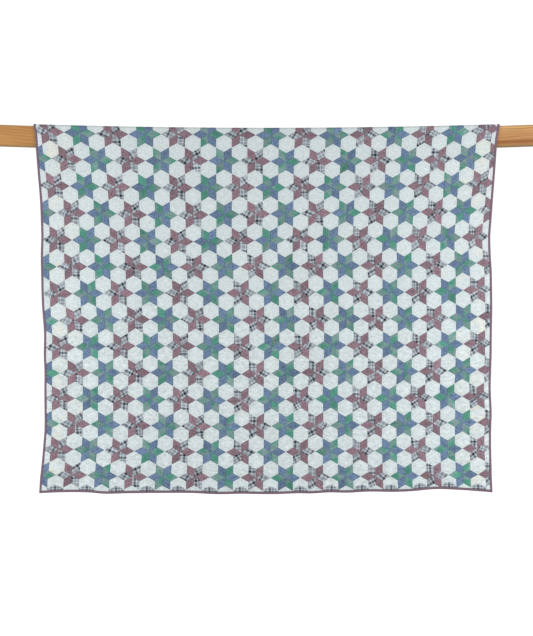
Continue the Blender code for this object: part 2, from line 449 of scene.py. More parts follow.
def ripple(across, along, up_from_hem):
    """The small unevenness of quilted cloth, none of it where the cloth lies on the rail."""
    wave = noise.noise(Vector((across / RIPPLE_SPACING, along / RIPPLE_SPACING * 0.8, 3.0)))
    at_hem = math.exp(-max(up_from_hem, 0.0) / HEM_RIPPLE_REACH)
    pull = noise.noise(Vector((across / RIPPLE_SPACING * 0.9, along * 3.0, 9.0)))
    free = smooth_step(abs(along), PLUMB, PLUMB + 0.2)
    return free * (RIPPLE_STAND * wave + HEM_RIPPLE_STAND * at_hem * pull)


def hung(across, along, out):
    """A point of the hung cloth.

    across is measured on the flat cloth from its left edge, along from the middle of the
    bend (front positive), and out from the middle of the thickness to the pieced face.
    """
    far = abs(along)
    if far <= TOP_HALF:
        y = far
        z = TOP_LIFT + (CORNER_LIFT - TOP_LIFT) * (far / TOP_HALF) ** 2
        turn = 0.0
    else:
        turn = min((far - TOP_HALF) / CORNER_RADIUS, math.pi / 2)
        y = TOP_HALF + CORNER_RADIUS * math.sin(turn)
        z = CORNER_RADIUS * math.cos(turn) - RAIL_EASE - max(far - PLUMB, 0.0)
    share = across / CLOTH_WIDTH
    left, right = read_table(SIDES, max(-z, 0.0))
    x = -left + (left + right) * share
    if along > PLUMB:
        up = front_hem(across) - along
        y += fold_stand(FRONT_FOLDS, share, up) + ripple(across, along, up)
    elif along < -PLUMB:
        up = along - back_hem(across)
        y += fold_stand(BACK_FOLDS, share, up) + ripple(across, along, up)
    y += out * math.sin(turn)
    z += out * math.cos(turn) + rail_top(x)
    return Vector((RAIL_MIDDLE + x, -y if along > 0 else y, z))


# Fabrics of the pieced face. Five light cottons: plain white, a blue and a maroon chambray, a
# soft green plaid and a black and white plaid. Each patch is cut on a grain of its own and quilted
# by hand a little inside its seams, and washing has drawn the cloth into fine crinkles. Their
# colour carries painted shade in the seams and along the quilting, and painted shade and light
# over the crinkles.

THREAD_PITCH = 0.00045
THREAD_HEIGHT = 0.00003
SLUB_HEIGHT = 0.00006
SLUBS_ACROSS = 230.0
SLUBS_ALONG = 60.0
MOTTLES_TO_METRE = 190.0
STAINS_TO_METRE = 26.0
# How far from a seam its painted shade reaches.
SEAM_SHADE_REACH = 0.0011
QUILTED_AT = 0.0062
DIMPLE_HALF = 0.0026
DIMPLE_DEPTH = 0.00035
STITCH_PITCH = 0.0034
STITCH_THICK = 0.0004
STITCH_HEIGHT = 0.0002
DIAMOND_HEIGHT = PATCH_SIDE * math.sqrt(3) / 2
QUILTING_THREAD = dyed(196, 203, 206)

# The crinkles: how many to a metre across and down, how far and how often they lean, how
# much painted shade and light they lay on the cloth's colour, and how far they stand out.
CRINKLE_ACROSS = 48.0
CRINKLE_DOWN = 105.0
CRINKLE_LEAN = 9.0
LEANS_TO_METRE = 7.0
CRINKLE_PAINTED_SHADE = 0.5
CRINKLE_HEIGHT = 0.0010

# The plaids' repeats, the green one's broad bars and thread lines, and the soft edge of a bar.
BAR_SOFTNESS = 0.0007
GREEN_REPEAT = 0.074
GREEN_BAR = 0.024
GREEN_LINE = 0.002
GREEN_LINE_AT = 0.0165
BLACK_REPEAT = 0.046

# The bars of the black plaid. Columns: place in the repeat, width, share of black.
BLACK_BARS = ((0.0, 0.0092, 1.0), (0.0130, 0.0050, 0.62), (0.0280, 0.0110, 0.42))
CROSSED_SHARE = 0.575


class Cotton(Finish):
    """A woven cotton whose pattern lies on the grain of each patch."""

    def __init__(self, name):
        super().__init__(name, Roughness=0.88, Specular_IOR_Level=0.22, Sheen_Weight=0.12)
        grain = self.node("ShaderNodeUVMap", {"uv_map": "grain"}, {})
        self.x, self.y, _ = self.apart(grain)
        self.over = self.x.waved(2 * THREAD_PITCH) * self.y.waved(2 * THREAD_PITCH)
        flat = self.place(self.x, self.y)
        self.mottle = self.speckle(flat, scale=MOTTLES_TO_METRE, detail=3.0) - 0.5
        warp = self.place(self.x * SLUBS_ACROSS, self.y * SLUBS_ALONG)
        weft = self.place(self.x * SLUBS_ALONG, self.y * SLUBS_ACROSS)
        self.slub = (self.speckle(warp, detail=3.0) - 0.5) + (self.speckle(weft, detail=3.0) - 0.5)

    def given(self, name):
        """A value that each patch was given when it was cut."""
        settings = {"attribute_name": name, "attribute_type": "GEOMETRY"}
        return self.node("ShaderNodeAttribute", settings, {}, "Fac")

    def woven(self, warp, weft):
        """Threads of two colours, one over the other."""
        return self.blend(self.over * 0.5 + 0.5, warp, weft)

    def crinkled(self):
        """The crinkles about their mean, as strong as the pull where a patch hangs."""
        x, y, z = self.apart(self.node("ShaderNodeTexCoord", {}, {}, "Object"))
        lean = self.speckle(self.place(x, y, z), scale=LEANS_TO_METRE, detail=1.0) * CRINKLE_LEAN
        where = self.place(x * CRINKLE_ACROSS, y * CRINKLE_ACROSS, z * CRINKLE_DOWN + lean)
        return (self.speckle(where, detail=1.0) - 0.5) * self.given("pull")

    def bar(self, along, middle, width, repeat):
        """A woven bar across the given direction, once in every repeat."""
        turn = ((along - middle) / repeat + 0.5).worked("FRACT") - 0.5
        from_middle = (turn * repeat).worked("ABSOLUTE")
        return from_middle.ramped(width / 2 + BAR_SOFTNESS, width / 2 - BAR_SOFTNESS)

    def inward(self, part):
        """How far in from its seams a point lies. A hexagon's thirds have only outer seams."""
        both = 0.5 - (part - 0.5).worked("ABSOLUTE")
        hexagon = self.given("hexagon")
        return (both * (1 - hexagon) + (1 - part) * hexagon) * DIAMOND_HEIGHT

    def sewn(self, colour, mottled, thread, seam_shading=0.26):
        """Finishes a patch: uneven dye, painted shade in its seams, along its quilting and over
        its crinkles, and its running stitch.

        mottled says how strongly its dye varies, and the last argument how much painted shade
        falls in its seams.
        """
        u, v, _ = self.apart(self.node("ShaderNodeUVMap", {"uv_map": "patch"}, {}))
        side = self.inward(u)
        end = self.inward(v)
        nearest = side.worked("MINIMUM", end)
        from_line = (nearest - QUILTED_AT).worked("ABSOLUTE")
        run = self.node(
            "ShaderNodeMix",
            {"data_type": "FLOAT"},
            {0: side.worked("LESS_THAN", end), 2: u, 3: v},
        )
        dash = (run * PATCH_SIDE).waved(STITCH_PITCH)
        stitch = from_line.ramped(STITCH_THICK, STITCH_THICK * 0.4) * dash.ramped(-0.3, 0.1)
        # Painted shade where the cloth dips into its seams.
        seam_shade = nearest.ramped(SEAM_SHADE_REACH, 0.0)
        crinkle = self.crinkled()
        # Uneven dye, with painted shade and light laid over the crinkles.
        uneven = (self.mottle + self.slub) * mottled + crinkle * CRINKLE_PAINTED_SHADE
        tone = (uneven + 1.0) * self.given("shade")
        # Painted shade in the dimple along the quilting line.
        lined = from_line.ramped(DIMPLE_HALF, 0.0) * 0.05
        # The dye's tone with painted shade from the seams, the quilting dimple and the crinkles.
        tone_and_painted_shade = tone * (1 - seam_shade * seam_shading) * (1 - lined)
        self.spread(
            Base_Color=self.blend(stitch * 0.7, self.shaded(colour, tone_and_painted_shade), thread),
            Roughness=self.mottle * 0.12 + 0.86,
        )
        dimple = from_line.ramped(DIMPLE_HALF, 0.0) * (dash.ramped(-1.2, 0.6) * 0.5 + 0.5)
        self.raise_by(
            self.over * THREAD_HEIGHT
            + self.slub * SLUB_HEIGHT
            - dimple * DIMPLE_DEPTH
            + crinkle * CRINKLE_HEIGHT
            + stitch * STITCH_HEIGHT
        )
        return self.material


def white_cotton():
    """Cool white, stained to a cream where its warmth is above 0 and lilac where it is below."""
    cloth = Cotton("white_cotton")
    warmth = cloth.given("warmth")
    where = cloth.place(cloth.x, cloth.y, 0.7)
    stain = cloth.speckle(where, scale=STAINS_TO_METRE, detail=1.0)
    stained = warmth * stain.ramped(0.40, 0.62) * 1.6
    cream = cloth.blend(stained, dyed(220, 231, 233), dyed(232, 234, 223))
    lilac = cloth.blend(warmth * -1.0, cream, dyed(233, 231, 239))
    return cloth.sewn(lilac, 0.43, dyed(212, 220, 220), seam_shading=0.12)


def chambray(name, warp, weft):
    """Dyed warp and paler weft, woven one over one."""
    cloth = Cotton(name)
    return cloth.sewn(cloth.woven(warp, weft), 1.3, QUILTING_THREAD)


def green_plaid():
    """Clear green crossed by broad soft bars of grey lilac, with a pale thread line in each."""
    cloth = Cotton("green_plaid")
    directions = (cloth.x, cloth.y)
    across, down = [cloth.bar(way, 0.0, GREEN_BAR, GREEN_REPEAT) for way in directions]
    lines = [cloth.bar(way, GREEN_LINE_AT, GREEN_LINE, GREEN_REPEAT) for way in directions]
    ground = cloth.woven(dyed(60, 138, 117), dyed(98, 156, 141))
    barred = cloth.blend(1 - (1 - across * 0.42) * (1 - down * 0.42), ground, dyed(150, 160, 168))
    lined = cloth.blend((lines[0] + lines[1]) * 0.4, barred, dyed(150, 190, 174))
    return cloth.sewn(lined, 0.8, QUILTING_THREAD)


def black_plaid():
    """Grey white crossed by black and by grey bars, full black only where black crosses black."""
    cloth = Cotton("black_plaid")
    warp, weft = [
        sum(cloth.bar(way, at, width, BLACK_REPEAT) * share for at, width, share in BLACK_BARS)
        for way in (cloth.x, cloth.y)
    ]
    ground = cloth.woven(dyed(202, 210, 218), dyed(184, 194, 205))
    barred = cloth.blend((warp + weft) * CROSSED_SHARE, ground, dyed(26, 36, 46))
    return cloth.sewn(barred, 0.7, QUILTING_THREAD)


WHITE, BLUE, GREEN, MAROON, BLACK = range(5)
fabrics = [
    white_cotton(),
    chambray("blue_chambray", dyed(82, 113, 151), dyed(124, 143, 169)),
    green_plaid(),
    chambray("maroon_chambray", dyed(126, 93, 106), dyed(155, 133, 142)),
    black_plaid(),
]


# Pieced face. Diamonds of one size, sewn six to a star, with white hexagons between the stars.
# Bands of green and blue stars stand beside bands of maroon and black plaid ones. It was pieced
# by hand, so its rows wander. It was trimmed to size, and plaid fills the notches at its hem.

GRID_LINES = (0.0, 0.09, 0.35, 0.65, 0.91, 1.0)
FIRST_STAR_ROW = -7
LAST_STAR_ROW = 13
LAST_BAND = 16
BLOCK_RISE = 0.0010
PATCH_RISE = 0.0013
PUFF_ROUNDNESS = 0.45
WHITE_SHADES = 0.012
DYED_SHADES = 0.085

# The whites have yellowed over this distance in from the sides, and a little elsewhere. The
# hexagons that the trimming cut, near enough to a side, are a fresher white with some lilac,
# down to the given places along the cloth.
YELLOWED_OVER = (0.04, 0.20)
YELLOWED_AT_SIDE = 0.5
YELLOWED_ELSEWHERE = 0.06
CUT_HEXAGON = 0.020
LILAC = 1.2
LILAC_OVER = (0.15, 0.60)

# The crinkles are weak at the rail, where the cloth hangs taut, and full down at the hem.
LEAST_PULL = 0.3
PULLED_OVER = (0.5, 1.15)

EDGE_INSET = BINDING_CLOTH + GAP
SWOLLEN_FROM = 0.0115
SWOLLEN_BY = 0.025
BEND_STEPS = 7

# The first and the last star row of each band in which its two colours change places. Rows
# 99 and -99 lie beyond the cloth.
TURNED_ROWS = (
    (99, 99),
    (99, 99),
    (5, 99),
    (99, 99),
    (4, 4),
    (4, 4),
    (4, 99),
    (4, 99),
    (4, 99),
    (4, 99),
    (4, 99),
    (-99, 99),
    (-99, 99),
    (-99, 99),
    (5, 99),
    (3, 99),
    (99, 99),
)

# Steps of one patch side at 30, 90 ... 330 degrees, and from a star's middle to its tips at
# 0, 60 ... 300 degrees. Each is in columns to the right and half rows down.
NOTCH_STEPS = ((1, -1), (0, -2), (-1, -1), (-1, 1), (0, 2), (1, 1))
TIP_STEPS = ((2, 0), (1, -3), (-1, -3), (-2, 0), (-1, 3), (1, 3))

# A plaid notch filler at the hem. Columns: across from its middle, up from the binding, both
# in patch sides. The same plaid shows as a thin line all along the binding.
FILLER = ((-0.86, 0.0), (-0.60, 0.36), (-0.22, 0.55), (0.22, 0.55), (0.60, 0.36), (0.86, 0.0))
FILLER_COLUMNS = range(2, LAST_COLUMN, 4)
FILLER_REACH = 1.3 * PATCH_SIDE
FILLER_SLIP = 0.004
FILLER_LINE = 0.0016
FILLER_BAR_AT = 0.0090

# How far the sewing has wandered from straight rows and columns, in millimetres, at these
# shares of the width. The first number of each row is metres along the cloth.
WANDER_AT = (0.0, 0.14, 0.28, 0.42, 0.56, 0.70, 0.85, 1.0)
WANDER_ACROSS = (
    (0.03, -15, -7, 10, 14, 21, 20, 18, 5),
    (0.22, -4, -3, 4, 13, 17, 20, 14, 5),
    (0.44, -2, -1, 4, 11, 17, 19, 15, -4),
    (0.70, -3, 3, 10, 17, 17, 15, 9, 2),
    (0.95, -4, 4, 4, 12, 16, 15, 10, 4),
    (1.25, -8, 1, 6, 12, 12, 11, 7, 4),
    (1.56, -5, 1, 5, 18, 18, 20, 15, 6),
)
WANDER_ALONG = (
    (0.03, 3, 8, 1, -1, 4, 1, 5, -8),
    (0.22, 12, 8, 4, -2, 1, 0, 2, -2),
    (0.44, 20, 12, 12, 4, -2, -3, 2, 3),
    (0.70, 29, 15, 6, 2, -1, 1, 6, 4),
    (0.95, 34, 18, 8, 10, 4, 3, 9, 11),
    (1.25, 22, 16, 14, 13, 7, 8, 8, 11),
    (1.56, 13, 8, 7, 2, 7, 2, 6, 8),
)

# A last unevenness of single corners: the most it can be, and how fast it changes from one to
# the next.
SEWING_SLIP = 0.0010
SLIP_PER_COLUMN = 0.37
SLIP_PER_HALF_ROW = 0.29


def wandered(across, along):
    """A place on straight rows and columns, moved to where the sewing has it."""
    moved = []
    for table in (WANDER_ACROSS, WANDER_ALONG):
        row = list(zip(WANDER_AT, read_table(table, along)))
        moved.append(read_table(row, across / CLOTH_WIDTH)[0] / 1000)
    return Vector((across + moved[0], along + moved[1]))


class FlatCloth:
    """The cloth before it is hung: x across it, y along it and z out from its plain face."""

    def __init__(self, lines, seed):
        self.mesh = bmesh.new()
        self.grain = self.mesh.loops.layers.uv.new("grain")
        self.patch = self.mesh.loops.layers.uv.new("patch")
        self.shade = self.mesh.faces.layers.float.new("shade")
        self.warmth = self.mesh.faces.layers.float.new("warmth")
        self.hexagon = self.mesh.faces.layers.float.new("hexagon")
        self.pull = self.mesh.faces.layers.float.new("pull")
        self.lines = lines
        self.luck = random.Random(seed)
        self.corners = {}
        self.points = {}
        self.lots = {}

    def corner(self, column, half_row):
        """Where a corner of the piecing lies on the flat cloth."""
        key = (column, half_row)
        if key not in self.corners:
            across = FIRST_COLUMN_AT + column * COLUMN_PITCH
            place = wandered(across, row_along(across, half_row / 2))
            spot = Vector((column * SLIP_PER_COLUMN, half_row * SLIP_PER_HALF_ROW, 7.0))
            other = spot + Vector((0.0, 0.0, 30.0))
            slip = Vector((noise.noise(spot), noise.noise(other)))
            self.corners[key] = place + slip * SEWING_SLIP
        return self.corners[key]

    def cut_out(self, fabric):
        """The lie of a patch's grain, and its shade and warmth."""
        spread = WHITE_SHADES if fabric == WHITE else DYED_SHADES
        turn = self.luck.choice((0, 90)) * math.pi / 180 + self.luck.gauss(0, 0.06)
        shift = (self.luck.uniform(0, 0.3), self.luck.uniform(0, 0.3))
        return turn, shift, self.luck.gauss(1.0, spread), self.luck.uniform(0, 1.0)

    def lay_diamond(self, star, first, second, last, fabric, hexagon):
        """Sews in one diamond. first is its corner, second and last the corners beside it.

        Three white ones round one first corner are a hexagon, cut from one piece of cloth.
        """
        one = (second[0] - first[0], second[1] - first[1])
        two = (last[0] - first[0], last[1] - first[1])
        opposite = (second[0] + two[0], second[1] + two[1])
        corners = [self.corner(*place) for place in (first, second, opposite, last)]
        middle = sum(corners, Vector((0, 0))) / 4
        if not -PATCH_SIDE < middle.x < CLOTH_WIDTH + PATCH_SIDE:
            return
        if not back_hem(middle.x) - PATCH_SIDE < middle.y < front_hem(middle.x) + PATCH_SIDE:
            return
        if hexagon:
            if first not in self.lots:
                self.lots[first] = self.cut_out(fabric)
            turn, shift, shade, luck = self.lots[first]
        else:
            turn, shift, shade, luck = self.cut_out(fabric)
            turn += math.atan2(-one[1] * PATCH_SIDE / 2, one[0] * COLUMN_PITCH)
        centre = corners[0].x if hexagon else middle.x
        from_side = min(centre, CLOTH_WIDTH - centre)
        near = 1 - smooth_step(from_side, *YELLOWED_OVER)
        warmth = near * luck * YELLOWED_AT_SIDE + luck * YELLOWED_ELSEWHERE
        if from_side < CUT_HEXAGON:
            warmth = -LILAC * luck * (1 - smooth_step(middle.y, *LILAC_OVER))
        pull = LEAST_PULL + (1 - LEAST_PULL) * smooth_step(abs(middle.y), *PULLED_OVER)
        grid = []
        for u in self.lines:
            for v in self.lines:
                column = first[0] + one[0] * u + two[0] * v
                half_row = first[1] + one[1] * u + two[1] * v
                low = corners[0].lerp(corners[1], u)
                flat = low.lerp(corners[3].lerp(corners[2], u), v)
                far = 0.75 * (column - star[0]) ** 2 + 0.25 * (half_row - star[1]) ** 2
                if hexagon:
                    puff = ((1 - u * u) * (1 - v * v)) ** PUFF_ROUNDNESS
                else:
                    puff = (16 * u * (1 - u) * v * (1 - v)) ** PUFF_ROUNDNESS
                rise = BLOCK_RISE * max(0.0, 1 - far / 3) + PATCH_RISE * puff
                x = (column - first[0]) * COLUMN_PITCH
                y = (first[1] - half_row) * PATCH_SIDE / 2
                grain = (
                    x * math.cos(turn) + y * math.sin(turn) + shift[0],
                    y * math.cos(turn) - x * math.sin(turn) + shift[1],
                )
                key = (round(column * 1000), round(half_row * 1000))
                if key not in self.points:
                    self.points[key] = self.mesh.verts.new((flat.x, flat.y, rise))
                grid.append((self.points[key], grain, (u, v)))
        count = len(self.lines)
        for i in range(count - 1):
            for j in range(count - 1):
                start = i * count + j
                ring = [grid[start], grid[start + count], grid[start + count + 1], grid[start + 1]]
                face = self.mesh.faces.new([point for point, _, _ in ring])
                face.material_index = fabric
                face.smooth = True
                face[self.shade] = shade
                face[self.warmth] = warmth
                face[self.hexagon] = float(hexagon)
                face[self.pull] = pull
                for loop, (_, grain, patch) in zip(face.loops, ring):
                    loop[self.grain].uv = grain
                    loop[self.patch].uv = patch

    def lay_star(self, band, star_row, colours):
        """Sews in a star of six diamonds and the six white ones in its notches."""
        star = (4 * band - 2 * (star_row % 2), 6 * star_row)
        for k in range(6):
            before = at(star, NOTCH_STEPS[k - 1])
            tip = at(star, TIP_STEPS[k])
            notch = at(star, NOTCH_STEPS[k])
            next_tip = at(star, TIP_STEPS[(k + 1) % 6])
            middle = at(star, [2 * step for step in NOTCH_STEPS[k]])
            self.lay_diamond(star, star, before, notch, colours[k % 2], False)
            self.lay_diamond(star, middle, next_tip, tip, WHITE, True)

    def cut(self, faces, point, normal, clear=False):
        """Cuts some of the cloth along a straight line, and drops what lies beyond it."""
        # A dict keeps its order, so every run cuts alike.
        edges = dict.fromkeys(edge for face in faces for edge in face.edges)
        corners = dict.fromkeys(corner for face in faces for corner in face.verts)
        bmesh.ops.bisect_plane(
            self.mesh,
            geom=[*faces, *edges, *corners],
            dist=1e-6,
            plane_co=(*point, 0.0),
            plane_no=(*normal, 0.0),
            clear_outer=clear,
        )

    def mirror_in(self, hem_at):
        """Measures along the cloth from a hem instead; a second call puts it back."""
        for corner in self.mesh.verts:
            corner.co.y = hem_at(corner.co.x) - corner.co.y

    def trim(self, fill_notches):
        """Cuts the sewn top to size, and gives it the creases that the rail needs."""
        everything = self.mesh.faces
        self.cut(everything[:], (EDGE_INSET, 0.0), (-1, 0), clear=True)
        self.cut(everything[:], (CLOTH_WIDTH - EDGE_INSET, 0.0), (1, 0), clear=True)
        self.mirror_in(back_hem)
        self.cut(everything[:], (0.0, -EDGE_INSET), (0, 1), clear=True)
        self.mirror_in(back_hem)
        self.mirror_in(front_hem)
        self.cut(everything[:], (0.0, EDGE_INSET), (0, -1), clear=True)
        if fill_notches:
            for column in FILLER_COLUMNS:
                across = FIRST_COLUMN_AT + column * COLUMN_PITCH
                self.fill_notch(wandered(across, front_hem(across)).x)
            self.fill_line()
        self.mirror_in(front_hem)
        quarter = [
            TOP_HALF + CORNER_RADIUS * math.pi / 2 * k / BEND_STEPS
            for k in range(BEND_STEPS + 1)
        ]
        for far in (0.0, TOP_HALF / 2, *quarter):
            for side in (1, -1):
                near = [
                    face
                    for face in everything
                    if abs(face.calc_center_median().y - side * far) < PATCH_SIDE
                ]
                self.cut(near, (0.0, side * far), (0, 1))

    def fill_notch(self, middle):
        """Sews a piece of the plaid over the foot of one white hexagon, at the hem."""
        outline = [
            (middle + x * PATCH_SIDE, BINDING_WIDTH + FILLER_LINE + up * PATCH_SIDE)
            for x, up in FILLER
        ]
        for (x0, y0), (x1, y1) in zip(outline, outline[1:]):
            self.cut(self.near_hem(middle), (x0, y0), (y0 - y1, x1 - x0))
        slip = self.luck.uniform(-FILLER_SLIP, FILLER_SLIP)
        for face in self.near_hem(middle):
            centre = face.calc_center_median()
            under = all(
                (x1 - x0) * (centre.y - y0) - (y1 - y0) * (centre.x - x0) < 0
                for (x0, y0), (x1, y1) in zip(outline, outline[1:])
            )
            if under:
                self.change_to_plaid(face, middle + slip)

    def fill_line(self):
        """Leaves a thin line of the same plaid between the whites and the binding."""
        line = BINDING_WIDTH + FILLER_LINE
        low = [face for face in self.mesh.faces if face.calc_center_median().y < PATCH_SIDE]
        self.cut(low, (0.0, line), (0, 1))
        for face in self.mesh.faces:
            if face.calc_center_median().y < line and face.material_index == WHITE:
                self.change_to_plaid(face, 0.0)

    def change_to_plaid(self, face, middle):
        """Lays the plaid straight on the hem, with a black bar at the given middle."""
        face.material_index = BLACK
        for loop in face.loops:
            across, up, _ = loop.vert.co
            loop[self.grain].uv = (across - middle, up - FILLER_BAR_AT)

    def near_hem(self, middle):
        return [
            face
            for face in self.mesh.faces
            if face.calc_center_median().y < FILLER_REACH
            and abs(face.calc_center_median().x - middle) < FILLER_REACH
        ]

    def hang(self, side, relief_at):
        """Lays the cloth over the rail. side is 1 for the pieced face and -1 for the backing."""
        for corner in self.mesh.verts:
            across, along, rise = corner.co
            inside = min(
                across,
                CLOTH_WIDTH - across,
                front_hem(across) - along,
                along - back_hem(across),
            )
            swell = smooth_step(inside, SWOLLEN_FROM, SWOLLEN_BY)
            out = HALF_EDGE + swell * (HALF_FACE - HALF_EDGE + rise * relief_at(along))
            corner.co = hung(across, along, side * out)
        if side < 0:
            bmesh.ops.reverse_faces(self.mesh, faces=self.mesh.faces)

    def sewn(self, name, materials):
        """The finished piece, riding on the part's one body."""
        data = bpy.data.meshes.new(name)
        self.mesh.to_mesh(data)
        self.mesh.free()
        for material in materials:
            data.materials.append(material)
        piece = bpy.data.objects.new(name, data)
        bpy.context.scene.collection.objects.link(piece)
        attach(piece, "root")
        return piece


def at(start, step):
    """The place on the piecing's columns and half rows that is a step from another."""
    return (start[0] + step[0], start[1] + step[1])


def star_colours(band, star_row):
    """The colours of the diamonds at 0, 120 and 240 degrees and of those between them."""
    pair = (MAROON, BLACK) if band % 2 else (GREEN, BLUE)
    first, last = TURNED_ROWS[band]
    return pair[::-1] if first <= star_row <= last else pair


def face_relief(along):
    """The puff is pulled flat near the rail and stands fuller towards the hem."""
    return 0.55 + 0.75 * smooth_step(along, 0.3, 1.3) + 0.3 * smooth_step(-along, 0.1, 0.4)


top = FlatCloth(GRID_LINES, seed=4)
for star_row in range(FIRST_STAR_ROW, LAST_STAR_ROW + 1):
    for band in range(LAST_BAND + 1):
        top.lay_star(band, star_row, star_colours(band, star_row))
top.trim(fill_notches=True)
top.hang(1, face_relief)
quilt_face = top.sewn("quilt_face", fabrics)
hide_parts("quilt")


# Backing. A whole cloth of unbleached cotton under the batting, drawn in by the same quilting
# stitches as the face. It shows between the two drops and lies on the rail.

BACKING_LINES = (0.0, 0.17, 0.83, 1.0)


def backing_relief(along):
    """The backing lies flat on the rail and is drawn in a little below it."""
    return 0.45 * smooth_step(abs(along), PLUMB, PLUMB + 0.05)


def unbleached_cotton():
    cloth = Cotton("unbleached_cotton")
    woven = cloth.woven(dyed(222, 218, 205), dyed(214, 209, 194))
    return cloth.sewn(woven, 0.2, dyed(228, 226, 218), seam_shading=0.0)


backing = FlatCloth(BACKING_LINES, seed=5)
for star_row in range(FIRST_STAR_ROW, LAST_STAR_ROW + 1):
    for band in range(LAST_BAND + 1):
        backing.lay_star(band, star_row, (WHITE, WHITE))
backing.trim(fill_notches=False)
backing.hang(-1, backing_relief)
quilt_backing = backing.sewn("quilt_backing", [unbleached_cotton()])


# Binding. Four strips of plum cotton folded over the raw edges and sewn down, the side ones
# run through and the hem ones butted between them. The sewing draws each strip in a little at
# every few stitches, and it stands proud where it bends over the rail.

BINDING_STATION = 0.007
PUCKER_SPACING = 0.016
PUCKER_DRAW = 0.0006
PUCKER_PUFF = 0.0004
PROUD_AT_BEND = 0.0016
PROUD_REACH = 0.030
RUBBED_WIDTH = 0.0018
SEWN_INSET = 0.0006
PLUM_SLUB_HEIGHT = 0.00008
SHARP_BEND = 55

# Half of the folded strip's section, from its sewn edge round to the middle of its fold.
# Columns: inset from the cloth's edge, out from the middle of the cloth.
SLOT = HALF_EDGE + GAP
BINDING_HALF = (
    (BINDING_WIDTH, SLOT),
    (BINDING_WIDTH + 0.0003, SLOT + 0.0004),
    (BINDING_WIDTH - 0.0004, HALF_BOUND),
    (BINDING_WIDTH * 0.75, HALF_BOUND + 0.0005),
    (BINDING_WIDTH * 0.45, HALF_BOUND + 0.0005),
    (BINDING_WIDTH * 0.18, HALF_BOUND),
    (0.0004, HALF_BOUND * 0.6),
)


def plum_cotton():
    """Plum cotton with lighter threads, rubbed paler along its fold."""
    cloth = Cotton("plum_cotton")
    woven = cloth.woven(dyed(112, 86, 104), dyed(142, 122, 134))
    u, v, _ = cloth.apart(cloth.node("ShaderNodeUVMap", {"uv_map": "patch"}, {}))
    rubbed = v.ramped(RUBBED_WIDTH, 0.0) * (cloth.mottle * 2.0 + 0.5).ramped(0.2, 0.8)
    worn = cloth.blend(rubbed * 0.3, woven, dyed(160, 132, 146))
    dash = u.waved(STITCH_PITCH)
    from_line = (v - BINDING_WIDTH + SEWN_INSET).worked("ABSOLUTE")
    stitch = from_line.ramped(STITCH_THICK, STITCH_THICK / 2) * dash.ramped(0.1, 0.4)
    tone = cloth.mottle * 0.3 + cloth.slub * 0.2 + 1.0
    cloth.spread(Base_Color=cloth.blend(stitch * 0.5, cloth.shaded(worn, tone), dyed(90, 58, 76)))
    cloth.raise_by(
        cloth.over * THREAD_HEIGHT + cloth.slub * PLUM_SLUB_HEIGHT - stitch * STITCH_HEIGHT
    )
    return cloth.material


plum = plum_cotton()


def bind(name, node, first, last, place, seed):
    """Folds a strip over one edge of the cloth, from first to last along it."""
    count = round((last - first) / BINDING_STATION)
    half = list(BINDING_HALF)
    section = half + [(0.0, 0.0)] + [(inset, -out) for inset, out in reversed(half)]
    outside = len(section)
    section += [(BINDING_CLOTH, -SLOT), (BINDING_CLOTH, SLOT)]
    mesh = bmesh.new()
    grain = mesh.loops.layers.uv.new("grain")
    patch = mesh.loops.layers.uv.new("patch")
    rings = []
    for k in range(count + 1):
        run = first + (last - first) * k / count
        draw = noise.noise(Vector((run / PUCKER_SPACING, seed, 0.0)))
        puff = noise.noise(Vector((run / PUCKER_SPACING, seed, 5.0)))
        ring = []
        for j, (inset, out) in enumerate(section):
            on_face = smooth_step(abs(out), SLOT, HALF_BOUND) if j < outside else 0.0
            deep = inset / BINDING_WIDTH
            inset_now = inset + PUCKER_DRAW * draw * deep
            out_now = out + math.copysign(PUCKER_PUFF * puff * on_face, out)
            ring.append(mesh.verts.new(place(run, inset_now, out_now)))
        rings.append(ring)
    around = [0.0]
    for (i0, o0), (i1, o1) in zip(section, section[1:] + section[:1]):
        around.append(around[-1] + math.hypot(i1 - i0, o1 - o0))
    step = (last - first) / count
    for k in range(count):
        for j in range(len(section)):
            after = (j + 1) % len(section)
            ring = (rings[k][j], rings[k][after], rings[k + 1][after], rings[k + 1][j])
            face = mesh.faces.new(ring)
            face.smooth = True
            runs = (k * step, k * step, (k + 1) * step, (k + 1) * step)
            rounds = (around[j], around[j + 1], around[j + 1], around[j])
            insets = (section[j][0], section[after][0], section[after][0], section[j][0])
            for loop, run, turn, inset in zip(face.loops, runs, rounds, insets):
                loop[grain].uv = (run, turn)
                loop[patch].uv = (run, inset)
    mesh.faces.new(rings[0])
    mesh.faces.new(rings[-1])
    bmesh.ops.recalc_face_normals(mesh, faces=mesh.faces)
    data = bpy.data.meshes.new(name)
    mesh.to_mesh(data)
    mesh.free()
    data.materials.append(plum)
    data.set_sharp_from_angle(angle=math.radians(SHARP_BEND))
    strip = bpy.data.objects.new(name, data)
    bpy.context.scene.collection.objects.link(strip)
    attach(strip, "root")
    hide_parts(node)
    return strip


def proud(along):
    """How much thicker a side strip stands where it bends over the rail."""
    return 1 + PROUD_AT_BEND / HALF_BOUND * math.exp(-((along / PROUD_REACH) ** 2))


def left_edge(along, inset, out):
    return hung(inset, along, out * proud(along) if out > 0 else out)


def right_edge(along, inset, out):
    return hung(CLOTH_WIDTH - inset, along, out * proud(along) if out > 0 else out)


def front_edge(across, inset, out):
    return hung(across, front_hem(across) - inset, out)


def back_edge(across, inset, out):
    return hung(across, back_hem(across) + inset, out)


butt = BINDING_WIDTH + GAP
bindings = [
    bind("left_binding", "binding_left", back_hem(0), front_hem(0), left_edge, 1.0),
    bind(
        "right_binding",
        "binding_right",
        back_hem(CLOTH_WIDTH),
        front_hem(CLOTH_WIDTH),
        right_edge,
        2.0,
    ),
    bind("hem_binding", "binding_front_hem", butt, CLOTH_WIDTH - butt, front_edge, 3.0),
    bind("back_binding", "binding_back_hem", butt, CLOTH_WIDTH - butt, back_edge, 4.0),
]

